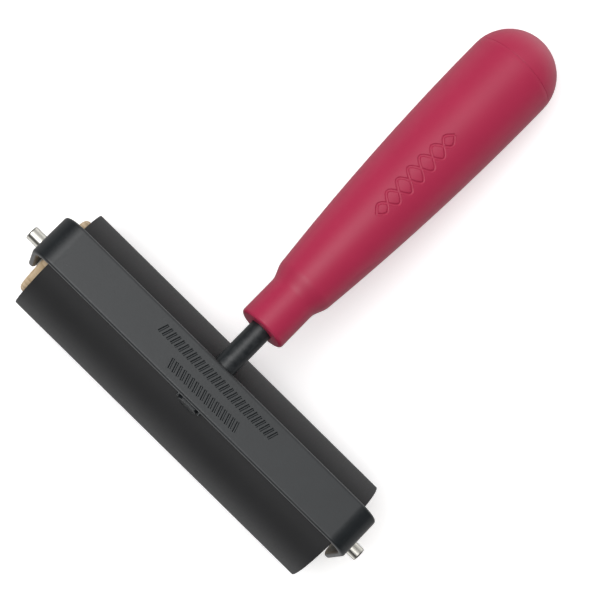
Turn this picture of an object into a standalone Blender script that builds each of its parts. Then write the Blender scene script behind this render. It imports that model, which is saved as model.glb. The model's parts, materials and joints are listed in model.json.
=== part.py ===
"""Rubber brayer: a roller in a bent steel yoke, with a moulded handle on a welded shaft.

World frame: metres, +Z up, the table at z = 0. The roller turns about +X and the handle runs
towards +Y, where its rounded end rests on the table beside the roller. The yoke, shaft and handle
are built square to the axle and then leaned back until that end touches down.
"""

from math import atan2, asin, cos, hypot, pi, radians, sin, sqrt

import bmesh
import bpy
from mathutils import Matrix, Vector

MM = 0.001

# Roller
SLEEVE_LENGTH = 101.6 * MM
SLEEVE_RADIUS = 15.875 * MM
SLEEVE_BORE_RADIUS = 12.7 * MM
SLEEVE_SHIFT = 0.45 * MM
CORE_LENGTH = 103.9 * MM
CORE_SHIFT = -0.45 * MM
CORE_EDGE_RADIUS = 1.2 * MM
CORE_BORE_RADIUS = 2.8 * MM

# Bushes pressed into the core
BUSH_RADIUS = 4.0 * MM
BUSH_LENGTH = 12.0 * MM
BUSH_FLANGE_RADIUS = 5.5 * MM
BUSH_FLANGE = 0.7 * MM

# Axle
AXLE_RADIUS = 2.0 * MM
AXLE_LENGTH = 120.65 * MM
AXLE_CHAMFER = 0.35 * MM

# Yoke, bent from flat strip
STRIP_WIDTH = 12.7 * MM
STRIP_THICKNESS = 1.9 * MM
STRIP_EDGE_RADIUS = 0.7 * MM
YOKE_SPAN = 110.6 * MM
YOKE_HEIGHT = 24.7 * MM
BEND_RADIUS = 5.5 * MM

# Shaft, welded under the yoke with a flat on its top
SHAFT_RADIUS = 3.175 * MM
SHAFT_FLAT_DEPTH = 0.9 * MM
SHAFT_NOSE = 0.7 * MM
SHAFT_EDGE = 0.3 * MM
TANG_LENGTH = 58.0 * MM
TANG_GROOVES = 4
TANG_GROOVE_DEPTH = 0.45 * MM
TANG_GROOVE_WIDTH = 1.4 * MM
TANG_GROOVE_PITCH = 8.0 * MM

# Weld beads along both sides of the shaft
BEAD_RADIUS = 0.55 * MM
BEAD_LENGTH = 13.6 * MM

# Handle
COLLAR_FACE = 20.5 * MM
COLLAR_RADIUS = 6.85 * MM
COLLAR_RIM = 1.5 * MM
SHOULDER_START = 11.3 * MM
SHOULDER_END = 16.8 * MM
GRIP_START_RADIUS = 8.45 * MM
GRIP_RADIUS = 12.5 * MM
GRIP_LENGTH = 95.3 * MM
SEAM_PAST_DOME = 1.2 * MM
CORE_OUT_RADIUS = 8.2 * MM
CORE_OUT_DEPTH = 30.0 * MM
CAP_WALL = 3.6 * MM
CAP_SPIGOT_LENGTH = 8.0 * MM
CAP_SPIGOT_WALL = 2.0 * MM

# Clearances
SEAT_GAP = 0.1 * MM
RUNNING_GAP = 0.08 * MM

# Facets
ROLLER_STEPS = 64
HANDLE_STEPS = 40
SMALL_STEPS = 24
BEAD_STEPS = 8
ARC_STEPS = 4
BEND_STEPS = 8
SMOOTH_ANGLE = radians(35)
MERGE = 1e-7

# Derived places
SHAFT_HEIGHT = YOKE_HEIGHT - STRIP_THICKNESS - SEAT_GAP - SHAFT_RADIUS + SHAFT_FLAT_DEPTH
DOME_CENTRE = COLLAR_FACE + GRIP_LENGTH
SEAM_PLACE = DOME_CENTRE + SEAM_PAST_DOME


def resting_lean():
    """The lean at which the handle's dome and the roller both touch the table."""
    reach = hypot(DOME_CENTRE, SHAFT_HEIGHT)
    return atan2(SHAFT_HEIGHT, DOME_CENTRE) + asin((SLEEVE_RADIUS - GRIP_RADIUS) / reach)


LEAN = resting_lean()
HANDLE_END = SHAFT_HEIGHT * sin(LEAN) + DOME_CENTRE * cos(LEAN) + GRIP_RADIUS
AXLE_Y = (SLEEVE_RADIUS - HANDLE_END) / 2
AXLE_CENTRE = Vector((0.0, AXLE_Y, SLEEVE_RADIUS))


def clear_scene():
    """Removes every object of the open scene."""
    for obj in list(bpy.data.objects):
        bpy.data.objects.remove(obj, do_unlink=True)


def principled(name, colour, roughness, metallic=0.0):
    """A material with one Principled shader."""
    material = bpy.data.materials.new(name)
    material.use_nodes = True
    shader = material.node_tree.nodes["Principled BSDF"]
    shader.inputs["Base Color"].default_value = (*colour, 1.0)
    shader.inputs["Roughness"].default_value = roughness
    shader.inputs["Metallic"].default_value = metallic
    return material


def empty(name, location, lean=0.0):
    """An empty that carries one rigid body."""
    holder = bpy.data.objects.new(name, None)
    holder.location = location
    holder.rotation_euler.x = -lean
    bpy.context.scene.collection.objects.link(holder)
    return holder


def node(name, bm, material, parent):
    """Turns a bmesh into a named, smooth-shaded object under its body's empty."""
    bmesh.ops.remove_doubles(bm, verts=bm.verts, dist=MERGE)
    bmesh.ops.recalc_face_normals(bm, faces=bm.faces)
    mesh = bpy.data.meshes.new(name)
    bm.to_mesh(mesh)
    bm.free()
    mesh.shade_smooth()
    mesh.set_sharp_from_angle(angle=SMOOTH_ANGLE)
    mesh.materials.append(material)
    obj = bpy.data.objects.new(name, mesh)
    bpy.context.scene.collection.objects.link(obj)
    obj.parent = parent
    return obj


def cutter(name, bm, parent):
    """A hidden solid that a Boolean takes away from another."""
    bmesh.ops.recalc_face_normals(bm, faces=bm.faces)
    mesh = bpy.data.meshes.new(name)
    bm.to_mesh(mesh)
    bm.free()
    obj = bpy.data.objects.new(name, mesh)
    bpy.context.scene.collection.objects.link(obj)
    obj.parent = parent
    obj.hide_render = True
    obj.display_type = "WIRE"
    return obj


def cut(obj, tool):
    """Subtracts one object from another."""
    boolean = obj.modifiers.new(tool.name, "BOOLEAN")
    boolean.operation = "DIFFERENCE"
    boolean.solver = "EXACT"
    boolean.object = tool


def arc(centre, radius, start, end, steps=ARC_STEPS):
    """Points (along, out) of a circular arc, its angles in degrees from the axis direction."""
    angles = [radians(start + (end - start) * i / steps) for i in range(steps + 1)]
    return [(centre[0] + radius * cos(a), centre[1] + radius * sin(a)) for a in angles]


def lathe(outline, axis, steps, height=0.0, closed=False):
    """Turns an outline of (along, out) points about the X or the Y axis, at a height above it."""
    bm = bmesh.new()
    side = 0 if axis == "X" else 1
    direction = Vector((1, 0, 0)) if axis == "X" else Vector((0, 1, 0))
    verts = []
    for along, out in outline:
        place = [0.0, 0.0, height + out]
        place[side] = along
        verts.append(bm.verts.new(place))
    pairs = list(zip(verts, verts[1:]))
    if closed:
        pairs.append((verts[-1], verts[0]))
    edges = [bm.edges.new(pair) for pair in pairs]
    bmesh.ops.spin(
        bm,
        geom=verts + edges,
        cent=(0, 0, height),
        axis=direction,
        angle=2 * pi,
        steps=steps,
        use_merge=True,
        use_duplicate=False,
    )
    return bm


def sleeve(material, parent):
    """The soft rubber tube, cut square at both ends."""
    half = SLEEVE_LENGTH / 2
    outline = [
        (SLEEVE_SHIFT - half, SLEEVE_BORE_RADIUS),
        (SLEEVE_SHIFT - half, SLEEVE_RADIUS),
        (SLEEVE_SHIFT + half, SLEEVE_RADIUS),
        (SLEEVE_SHIFT + half, SLEEVE_BORE_RADIUS),
    ]
    return node("rubber_sleeve", lathe(outline, "X", ROLLER_STEPS, closed=True), material, parent)


def core(material, parent):
    """The wooden core: rounded end edges, a through bore, and a counterbore for each bush."""
    half = CORE_LENGTH / 2
    radius = SLEEVE_BORE_RADIUS - SEAT_GAP
    seat = BUSH_RADIUS + SEAT_GAP
    depth = BUSH_LENGTH + SEAT_GAP
    shoulder = half - CORE_EDGE_RADIUS
    lip = radius - CORE_EDGE_RADIUS
    outline = [
        (depth - half, CORE_BORE_RADIUS),
        (depth - half, seat),
        (-half, seat),
        *arc((-shoulder, lip), CORE_EDGE_RADIUS, 180, 90),
        *arc((shoulder, lip), CORE_EDGE_RADIUS, 90, 0),
        (half, seat),
        (half - depth, seat),
        (half - depth, CORE_BORE_RADIUS),
    ]
    shifted = [(along + CORE_SHIFT, out) for along, out in outline]
    return node("wood_core", lathe(shifted, "X", ROLLER_STEPS, closed=True), material, parent)


def bush(name, side, material, parent):
    """A flanged bush; side is -1 for the left end and +1 for the right."""
    face = CORE_SHIFT + side * (CORE_LENGTH / 2 + SEAT_GAP)
    bore = AXLE_RADIUS + RUNNING_GAP
    outline = [
        (face - side * BUSH_LENGTH, bore),
        (face - side * BUSH_LENGTH, BUSH_RADIUS),
        (face, BUSH_RADIUS),
        (face, BUSH_FLANGE_RADIUS),
        (face + side * BUSH_FLANGE, BUSH_FLANGE_RADIUS),
        (face + side * BUSH_FLANGE, bore),
    ]
    return node(name, lathe(outline, "X", SMALL_STEPS, closed=True), material, parent)


def axle(material, parent):
    """The plain steel rod that the roller turns on, chamfered at both ends."""
    half = AXLE_LENGTH / 2
    outline = [
        (-half, 0.0),
        (-half, AXLE_RADIUS - AXLE_CHAMFER),
        (AXLE_CHAMFER - half, AXLE_RADIUS),
        (half - AXLE_CHAMFER, AXLE_RADIUS),
        (half, AXLE_RADIUS - AXLE_CHAMFER),
        (half, 0.0),
    ]
    return node("axle", lathe(outline, "X", SMALL_STEPS), material, parent)


def blank_lengths():
    """Half the flat back of the yoke, the strip in one bend, and one arm down to the axle."""
    back = YOKE_SPAN / 2 - BEND_RADIUS
    bend = (BEND_RADIUS - STRIP_THICKNESS / 2) * pi / 2
    arm = YOKE_HEIGHT - BEND_RADIUS
    return back, bend, arm


def fold(point):
    """Carries a point of the flat blank, x along it and z up from its middle, onto the yoke."""
    back, bend, _ = blank_lengths()
    middle = BEND_RADIUS - STRIP_THICKNESS / 2
    side = 1 if point.x >= 0 else -1
    past = max(abs(point.x) - back, 0.0)
    angle = min(past, bend) / middle
    down = max(past - bend, 0.0)
    out = middle + point.z
    along = min(abs(point.x), back) + out * sin(angle)
    height = YOKE_HEIGHT - BEND_RADIUS + out * cos(angle) - down
    return Vector((side * along, point.y, height))


def yoke(material, parent):
    """The bent strip: a flat back, two bends and two arms with full round ends and axle holes."""
    back, bend, arm = blank_lengths()
    half = back + bend + arm
    end_radius = STRIP_WIDTH / 2
    bm = bmesh.new()
    right = arc((half, 0.0), end_radius, -90, 90, 2 * ARC_STEPS)
    left = arc((-half, 0.0), end_radius, 90, 270, 2 * ARC_STEPS)
    corners = [bm.verts.new((x, y, -STRIP_THICKNESS / 2)) for x, y in right + left]
    face = bm.faces.new(corners)
    raised = bmesh.ops.extrude_face_region(bm, geom=[face])["geom"]
    top = [v for v in raised if isinstance(v, bmesh.types.BMVert)]
    bmesh.ops.translate(bm, verts=top, vec=(0, 0, STRIP_THICKNESS))
    bmesh.ops.recalc_face_normals(bm, faces=bm.faces)
    rims = [e for e in bm.edges if abs(e.verts[0].co.z - e.verts[1].co.z) < MERGE]
    bmesh.ops.bevel(
        bm,
        geom=rims,
        offset=STRIP_EDGE_RADIUS,
        offset_type="OFFSET",
        affect="EDGES",
        segments=2,
        profile=0.5,
        material=-1,
    )
    for side in (-1, 1):
        for i in range(BEND_STEPS + 1):
            place = side * (back + bend * i / BEND_STEPS)
            everything = bm.verts[:] + bm.edges[:] + bm.faces[:]
            bmesh.ops.bisect_plane(
                bm, geom=everything, dist=MERGE, plane_co=(place, 0, 0), plane_no=(1, 0, 0)
            )
    for vert in bm.verts:
        vert.co = fold(vert.co)
    obj = node("yoke", bm, material, parent)
    drill = lathe(
        [
            (-YOKE_SPAN, 0.0),
            (-YOKE_SPAN, AXLE_RADIUS + SEAT_GAP),
            (YOKE_SPAN, AXLE_RADIUS + SEAT_GAP),
            (YOKE_SPAN, 0.0),
        ],
        "X",
        SMALL_STEPS,
    )
    cut(obj, cutter("axle_hole_cutter", drill, parent))
    return obj


def tang_grooves():
    """Outline points of the grooves that key the shaft into the handle."""
    points = []
    for i in range(TANG_GROOVES):
        start = COLLAR_FACE + TANG_LENGTH - TANG_GROOVE_PITCH * (TANG_GROOVES - i)
        end = start + TANG_GROOVE_WIDTH
        points += [
            (start, SHAFT_RADIUS),
            (start + TANG_GROOVE_DEPTH, SHAFT_RADIUS - TANG_GROOVE_DEPTH),
            (end, SHAFT_RADIUS - TANG_GROOVE_DEPTH),
            (end + TANG_GROOVE_DEPTH, SHAFT_RADIUS),
        ]
    return points


def shaft(material, parent):
    """The round shaft: a flat where the yoke sits on it, and a grooved tang in the handle."""
    front = -STRIP_WIDTH / 2 - SHAFT_NOSE
    back = COLLAR_FACE + TANG_LENGTH
    outline = [
        (front, 0.0),
        (front, SHAFT_RADIUS - SHAFT_EDGE),
        (front + SHAFT_EDGE, SHAFT_RADIUS),
        *tang_grooves(),
        (back - SHAFT_EDGE, SHAFT_RADIUS),
        (back, SHAFT_RADIUS - SHAFT_EDGE),
        (back, 0.0),
    ]
    obj = node("shaft", lathe(outline, "Y", SMALL_STEPS, SHAFT_HEIGHT), material, parent)
    bm = bmesh.new()
    bmesh.ops.create_cube(bm, size=1.0)
    flat = YOKE_HEIGHT - STRIP_THICKNESS - SEAT_GAP
    depth = STRIP_WIDTH + 2 * SHAFT_NOSE
    size = Matrix.Diagonal((4 * SHAFT_RADIUS, depth, 2 * SHAFT_RADIUS, 1.0))
    place = Matrix.Translation((0, SEAT_GAP - SHAFT_NOSE, flat + SHAFT_RADIUS))
    bmesh.ops.transform(bm, matrix=place @ size, verts=bm.verts)
    cut(obj, cutter("shaft_flat_cutter", bm, parent))
    return obj


def bead(name, side, material, parent):
    """A weld bead in the corner between the yoke's underside and one side of the shaft."""
    chord_height = SHAFT_RADIUS - SHAFT_FLAT_DEPTH
    chord_half = sqrt(SHAFT_RADIUS**2 - chord_height**2)
    wedge = atan2(chord_half, chord_height)
    down = BEAD_RADIUS + SEAT_GAP
    out = chord_half + down / sin(wedge / 2) * cos(wedge / 2)
    half = BEAD_LENGTH / 2
    outline = [
        (-half, 0.0),
        *arc((BEAD_RADIUS - half, 0.0), BEAD_RADIUS, 180, 90)[1:],
        *arc((half - BEAD_RADIUS, 0.0), BEAD_RADIUS, 90, 0)[:-1],
        (half, 0.0),
    ]
    height = YOKE_HEIGHT - STRIP_THICKNESS - down
    bm = lathe(outline, "Y", BEAD_STEPS, height)
    bmesh.ops.translate(bm, verts=bm.verts, vec=(side * out, 0, 0))
    return node(name, bm, material, parent)


def shoulder_radius(along):
    """The handle's radius where the collar swells into the grip."""
    share = (along - SHOULDER_START) / (SHOULDER_END - SHOULDER_START)
    ease = share * share * (3 - 2 * share)
    return COLLAR_RADIUS + (GRIP_START_RADIUS - COLLAR_RADIUS) * ease


def grip_radius(along):
    """The handle's radius on the long barrel arc, tangent to the dome at its end."""
    rise = GRIP_RADIUS - GRIP_START_RADIUS
    run = GRIP_LENGTH - SHOULDER_END
    barrel = (run * run + rise * rise) / (2 * rise)
    back = GRIP_LENGTH - along
    return GRIP_RADIUS - barrel + sqrt(barrel * barrel - back * back)


def handle(material, parent):
    """The moulded handle: collar, swelling grip, blind socket for the tang, cored-out rear."""
    rim = arc((COLLAR_RIM, COLLAR_RADIUS - COLLAR_RIM), COLLAR_RIM, 180, 90)
    shoulder_run = (SHOULDER_END - SHOULDER_START) / ARC_STEPS
    shoulder = [SHOULDER_START + shoulder_run * i for i in range(ARC_STEPS)]
    grip_steps = 2 * ARC_STEPS
    grip_run = (GRIP_LENGTH - SHOULDER_END) / grip_steps
    grip = [SHOULDER_END + grip_run * i for i in range(grip_steps + 1)]
    seam = sqrt(GRIP_RADIUS**2 - SEAM_PAST_DOME**2)
    rear = GRIP_LENGTH + SEAM_PAST_DOME
    socket = SHAFT_RADIUS + SEAT_GAP
    bottom = TANG_LENGTH + SEAT_GAP
    outline = [
        (bottom, 0.0),
        (bottom, socket),
        (SHAFT_EDGE, socket),
        (0.0, socket + SHAFT_EDGE),
        *rim,
        *[(along, shoulder_radius(along)) for along in shoulder],
        *[(along, grip_radius(along)) for along in grip],
        (rear, seam),
        (rear, CORE_OUT_RADIUS),
        (rear - CORE_OUT_DEPTH, CORE_OUT_RADIUS),
        (rear - CORE_OUT_DEPTH, 0.0),
    ]
    placed = [(COLLAR_FACE + along, out) for along, out in outline]
    return node("handle", lathe(placed, "Y", HANDLE_STEPS, SHAFT_HEIGHT), material, parent)


def end_cap(material, parent):
    """The domed cap that closes the handle, with a spigot in the cored-out rear."""
    face = SEAM_PLACE + SEAT_GAP
    start = asin((face - DOME_CENTRE) / GRIP_RADIUS) * 180 / pi
    dome = arc((DOME_CENTRE, 0.0), GRIP_RADIUS, 90 - start, 0, 2 * ARC_STEPS)
    inner = GRIP_RADIUS - CAP_WALL
    spigot = CORE_OUT_RADIUS - SEAT_GAP
    bore = spigot - CAP_SPIGOT_WALL
    mouth = asin(bore / inner) * 180 / pi
    hollow = arc((DOME_CENTRE, 0.0), inner, 0, mouth)
    outline = [
        *dome[:-1],
        (DOME_CENTRE + GRIP_RADIUS, 0.0),
        (DOME_CENTRE + inner, 0.0),
        *hollow[1:],
        (face - CAP_SPIGOT_LENGTH, bore),
        (face - CAP_SPIGOT_LENGTH, spigot),
        (face, spigot),
    ]
    halves = outline.index((DOME_CENTRE + GRIP_RADIUS, 0.0)) + 1
    opened = outline[halves:] + outline[:halves]
    return node("end_cap", lathe(opened, "Y", HANDLE_STEPS, SHAFT_HEIGHT), material, parent)


def build():
    """Makes every piece on its body's empty."""
    clear_scene()
    black_paint = principled("black_paint", (0.035, 0.036, 0.038), 0.42)
    red_plastic = principled("red_plastic", (0.42, 0.035, 0.075), 0.38)
    steel = principled("bright_steel", (0.72, 0.70, 0.66), 0.22, 1.0)
    rubber = principled("black_rubber", (0.022, 0.022, 0.023), 0.8)
    wood = principled("pale_wood", (0.58, 0.42, 0.25), 0.62)
    nylon = principled("white_nylon", (0.78, 0.76, 0.70), 0.45)
    frame = empty("frame_body", AXLE_CENTRE, LEAN)
    roller = empty("roller_body", AXLE_CENTRE)
    yoke(black_paint, frame)
    shaft(black_paint, frame)
    bead("left_weld_bead", -1, black_paint, frame)
    bead("right_weld_bead", 1, black_paint, frame)
    handle(red_plastic, frame)
    end_cap(red_plastic, frame)
    axle(steel, frame)
    sleeve(rubber, roller)
    core(wood, roller)
    bush("left_bush", -1, nylon, roller)
    bush("right_bush", 1, nylon, roller)


build()
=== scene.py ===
"""Looks for the rubber brayer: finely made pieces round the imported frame, their finishes, light and camera.

Row frame: metres, +X along the axle, +Y towards the handle's end, +Z up, the table at z = 0. The
yoke, shaft and handle lean back until the handle's end rests on the table, so their pieces are made
in the tool's own axes, whose origin is the middle of the axle, and then carried to the row frame.
"""

import json
import logging
from dataclasses import dataclass, field
from enum import Enum
from math import asin, cos, degrees, pi, radians, sin, sqrt
from typing import Union

import bmesh
import bpy
from bmesh.types import BMEdge, BMesh, BMVert
from bpy.types import Material, Mesh, Node, NodeSocket, NodeTree, Object
from mathutils import Matrix, Vector


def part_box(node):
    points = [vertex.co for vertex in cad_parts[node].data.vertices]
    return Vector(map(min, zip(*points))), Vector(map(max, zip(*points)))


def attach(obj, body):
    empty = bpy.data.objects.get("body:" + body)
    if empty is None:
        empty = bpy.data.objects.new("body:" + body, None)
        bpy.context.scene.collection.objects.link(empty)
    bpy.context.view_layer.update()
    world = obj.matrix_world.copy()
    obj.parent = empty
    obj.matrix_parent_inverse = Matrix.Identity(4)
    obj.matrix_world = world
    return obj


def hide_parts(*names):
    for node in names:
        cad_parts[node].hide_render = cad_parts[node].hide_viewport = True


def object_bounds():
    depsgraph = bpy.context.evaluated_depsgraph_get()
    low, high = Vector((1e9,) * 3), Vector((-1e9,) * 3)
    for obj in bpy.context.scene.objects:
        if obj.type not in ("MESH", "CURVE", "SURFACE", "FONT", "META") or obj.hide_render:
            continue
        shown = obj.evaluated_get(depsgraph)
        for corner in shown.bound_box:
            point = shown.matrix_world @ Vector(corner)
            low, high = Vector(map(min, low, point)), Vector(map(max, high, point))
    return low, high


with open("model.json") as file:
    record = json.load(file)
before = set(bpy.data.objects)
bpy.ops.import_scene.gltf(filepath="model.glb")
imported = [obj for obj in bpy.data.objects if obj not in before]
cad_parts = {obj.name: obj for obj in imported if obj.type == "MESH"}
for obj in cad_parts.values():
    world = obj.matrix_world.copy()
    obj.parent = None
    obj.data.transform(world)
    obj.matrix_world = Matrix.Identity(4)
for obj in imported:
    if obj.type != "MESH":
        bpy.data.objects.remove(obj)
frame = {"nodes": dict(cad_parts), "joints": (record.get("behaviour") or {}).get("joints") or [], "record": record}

CAD_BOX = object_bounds()

# Shapes are in metres, and the finishes' patterns in millimetres.
MM = 0.001
MM_PER_METRE = 1000.0

# Points closer together than this are one point.
WELD = 1e-7

# Facets round a large and a small turned piece, how fine a cord's round section is, chords in a
# rounded edge, and the steepest turn between two faces that is still shaded smooth.
ROUND = 192
SMALL_ROUND = 72
CORD_ROUND = 4
EDGE_STEPS = 6
SHARP = radians(38)

Point = tuple[float, float]
Triple = tuple[float, float, float]
Colour = tuple[float, float, float]
Value = Union[NodeSocket, float, tuple]

log = logging.getLogger("brayer")


class Axis(Enum):
    """The axis of the tool that a turned piece is centred on."""

    ALONG_AXLE = 0
    ALONG_HANDLE = 1


class Side(Enum):
    """The two sides of the tool, towards the axle's two ends."""

    LEFT = -1
    RIGHT = 1


@dataclass(frozen=True)
class Stance:
    """How the tool stands in the row frame."""

    axle: Vector
    upright: Vector

    @classmethod
    def of_frame(cls) -> "Stance":
        """Reads the stance off the roller's joint and the yoke's back.

        Returns:
            The middle of the axle and the direction square to the yoke's back.
        """
        joint = frame["joints"][0]
        back = frame["record"]["mounts"][0]
        return cls(Vector(joint["pos_m"]), Vector(back["axis"]).normalized())

    def matrix(self) -> Matrix:
        """Works out the matrix from the tool's own axes to the row frame.

        Returns:
            The matrix.
        """
        across = Vector((1, 0, 0))
        along = self.upright.cross(across)
        turn = Matrix((across, along, self.upright)).transposed().to_4x4()
        return Matrix.Translation(self.axle) @ turn

    def extent(self, node: str) -> tuple[Vector, Vector]:
        """Measures a CAD node in the tool's own axes.

        Args:
            node: The name of the CAD node.

        Returns:
            Its lowest and highest corners.
        """
        back = self.matrix().inverted()
        places = [back @ vert.co for vert in frame["nodes"][node].data.vertices]
        low = Vector([min(place[i] for place in places) for i in range(3)])
        high = Vector([max(place[i] for place in places) for i in range(3)])
        return low, high


# ---------------------------------------------------------------------------- shapes


def arc(centre: Point, radius: float, start: float, end: float, steps: int = EDGE_STEPS) -> list[Point]:
    """Draws a circular arc for an outline.

    Args:
        centre: The arc's centre, along the axis and out from it.
        radius: Its radius.
        start: Its first angle in degrees, from the direction along the axis.
        end: Its last angle in degrees.
        steps: How many chords it has.

    Returns:
        Its points in order.
    """
    angles = [radians(start + (end - start) * i / steps) for i in range(steps + 1)]
    return [(centre[0] + radius * cos(a), centre[1] + radius * sin(a)) for a in angles]


def ease(share: float) -> float:
    """Eases a share from 0 to 1, so that a rise starts and ends level."""
    return share**2 * (3 - 2 * share)


def turned(
    outline: list[Point], axis: Axis, steps: int, height: float = 0.0, closed: bool = False
) -> BMesh:
    """Turns an outline of (along, out) points into a round piece.

    Args:
        outline: The points of half the section, in order.
        axis: The axis that it turns about.
        steps: How many facets go round.
        height: How far the axis lies above the axle.
        closed: Whether the last point joins the first, as in a tube.

    Returns:
        The mesh of the piece, in the tool's own axes.
    """
    bm = bmesh.new()
    direction = Vector((0, 0, 0))
    direction[axis.value] = 1.0
    verts = []
    for along, out in outline:
        place = [0.0, 0.0, height + out]
        place[axis.value] = along
        verts.append(bm.verts.new(place))
    pairs = list(zip(verts, verts[1:]))
    if closed:
        pairs.append((verts[-1], verts[0]))
    edges = [bm.edges.new(pair) for pair in pairs]
    bmesh.ops.spin(
        bm,
        geom=verts + edges,
        cent=(0, 0, height),
        axis=direction,
        angle=2 * pi,
        steps=steps,
        use_merge=True,
        use_duplicate=False,
    )
    return bm


def settle(bm: BMesh) -> None:
    """Merges the doubles of a mesh and turns its faces outwards.

    Args:
        bm: The mesh to settle.
    """
    bmesh.ops.remove_doubles(bm, verts=bm.verts, dist=WELD)
    bmesh.ops.dissolve_degenerate(bm, edges=bm.edges, dist=WELD)
    bmesh.ops.recalc_face_normals(bm, faces=bm.faces)


def round_rims(bm: BMesh, edges: list[BMEdge], radius: float, segments: int) -> None:
    """Rounds the given edges of a mesh.

    Args:
        bm: The mesh.
        edges: The edges to round.
        radius: The radius of the rounding.
        segments: How many facets it has.
    """
    bmesh.ops.bevel(
        bm,
        geom=edges,
        offset=radius,
        offset_type="OFFSET",
        affect="EDGES",
        segments=segments,
        profile=0.5,
        material=-1,
    )


def placed_object(name: str, bm: BMesh, matrix: Matrix) -> Object:
    """Turns a mesh into an object at the origin with its place in its mesh.

    Args:
        name: The object's name.
        bm: The mesh, which is freed.
        matrix: The place that the mesh is carried to.

    Returns:
        The object.
    """
    settle(bm)
    bmesh.ops.transform(bm, matrix=matrix, verts=bm.verts)
    mesh = bpy.data.meshes.new(name)
    bm.to_mesh(mesh)
    bm.free()
    obj = bpy.data.objects.new(name, mesh)
    bpy.context.scene.collection.objects.link(obj)
    return obj


def evaluated_mesh(obj: Object) -> Mesh:
    """Makes the mesh of an object as its modifiers or its curve's bevel shape it.

    Args:
        obj: The object.

    Returns:
        A new mesh.
    """
    bpy.context.view_layer.update()
    graph = bpy.context.evaluated_depsgraph_get()
    return bpy.data.meshes.new_from_object(obj.evaluated_get(graph))


def apply_modifiers(obj: Object) -> None:
    """Makes an object's modifiers part of its mesh.

    Args:
        obj: The object.
    """
    mesh = evaluated_mesh(obj)
    old = obj.data
    obj.modifiers.clear()
    obj.data = mesh
    mesh.name = obj.name
    bpy.data.meshes.remove(old)


def carve(obj: Object, tool: Object) -> None:
    """Cuts one object away from another.

    Args:
        obj: The object that is cut.
        tool: The object that cuts, which is removed.
    """
    boolean = obj.modifiers.new("carve", "BOOLEAN")
    boolean.operation = "DIFFERENCE"
    boolean.solver = "EXACT"
    boolean.object = tool
    apply_modifiers(obj)
    mesh = tool.data
    bpy.data.objects.remove(tool)
    bpy.data.meshes.remove(mesh)


def cords(name: str, paths: list[list[Vector]], radius: float) -> Object:
    """Builds a tool of round cords that presses a groove along each path.

    Args:
        name: The tool's name.
        paths: The points of each cord, in the row frame.
        radius: The cords' radius.

    Returns:
        The tool.
    """
    curve = bpy.data.curves.new(name, "CURVE")
    curve.dimensions = "3D"
    curve.bevel_depth = radius
    curve.bevel_resolution = CORD_ROUND
    curve.use_fill_caps = True
    for path in paths:
        spline = curve.splines.new("POLY")
        spline.points.add(len(path) - 1)
        for point, place in zip(spline.points, path):
            point.co = (*place, 1.0)
    holder = bpy.data.objects.new(name, curve)
    bpy.context.scene.collection.objects.link(holder)
    mesh = evaluated_mesh(holder)
    bpy.data.objects.remove(holder)
    bpy.data.curves.remove(curve)
    bm = bmesh.new()
    bm.from_mesh(mesh)
    bpy.data.meshes.remove(mesh)
    return placed_object(name, bm, Matrix.Identity(4))


def smooth(obj: Object, flat_faces: bool = False) -> None:
    """Shades an object smooth up to its sharp edges.

    Args:
        obj: The object.
        flat_faces: Whether its large flat faces are kept flat by weighted normals.
    """
    obj.data.shade_smooth()
    obj.data.set_sharp_from_angle(angle=SHARP)
    if flat_faces:
        weighted = obj.modifiers.new("flat_faces", "WEIGHTED_NORMAL")
        weighted.mode = "FACE_AREA"
        weighted.keep_sharp = True
        apply_modifiers(obj)


def dress(obj: Object, material: Material, body: str, node: str) -> Object:
    """Gives a finished piece its material and its part in the frame.

    Args:
        obj: The piece.
        material: Its finish.
        body: The CAD body that it moves with.
        node: The CAD node that it stands for.

    Returns:
        The piece.
    """
    obj.data.materials.clear()
    obj.data.materials.append(material)
    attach(obj, body)
    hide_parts(node)
    log.info("%s: %d faces, for %s on %s", obj.name, len(obj.data.polygons), node, body)
    return obj


# ---------------------------------------------------------------------------- node graphs

FLOAT = "NodeSocketFloat"
VECTOR = "NodeSocketVector"
COLOUR = "NodeSocketColor"

# A Mix node's sockets for colours, among those for its other kinds of data.
MIX_FACTOR, MIX_FIRST, MIX_SECOND, MIX_RESULT = 0, 6, 7, 2

# The heights between which a relief's lumps change the gloss.
RELIEF_RANGE = (0.3, 0.7)

# The part of a speck that is fully dark, measured from its middle.
SPECK_CORE = 0.6

# Scratches: the noise level where the first of them start, how far a larger share lowers it, and how
# soft their sides are.
SCRATCH_LEVEL = 0.72
SCRATCH_SPREAD = 0.3
SCRATCH_SOFTNESS = 0.08

# The noise levels between which edge wear breaks off.
WEAR_BREAKS = (0.35, 0.65)


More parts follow.
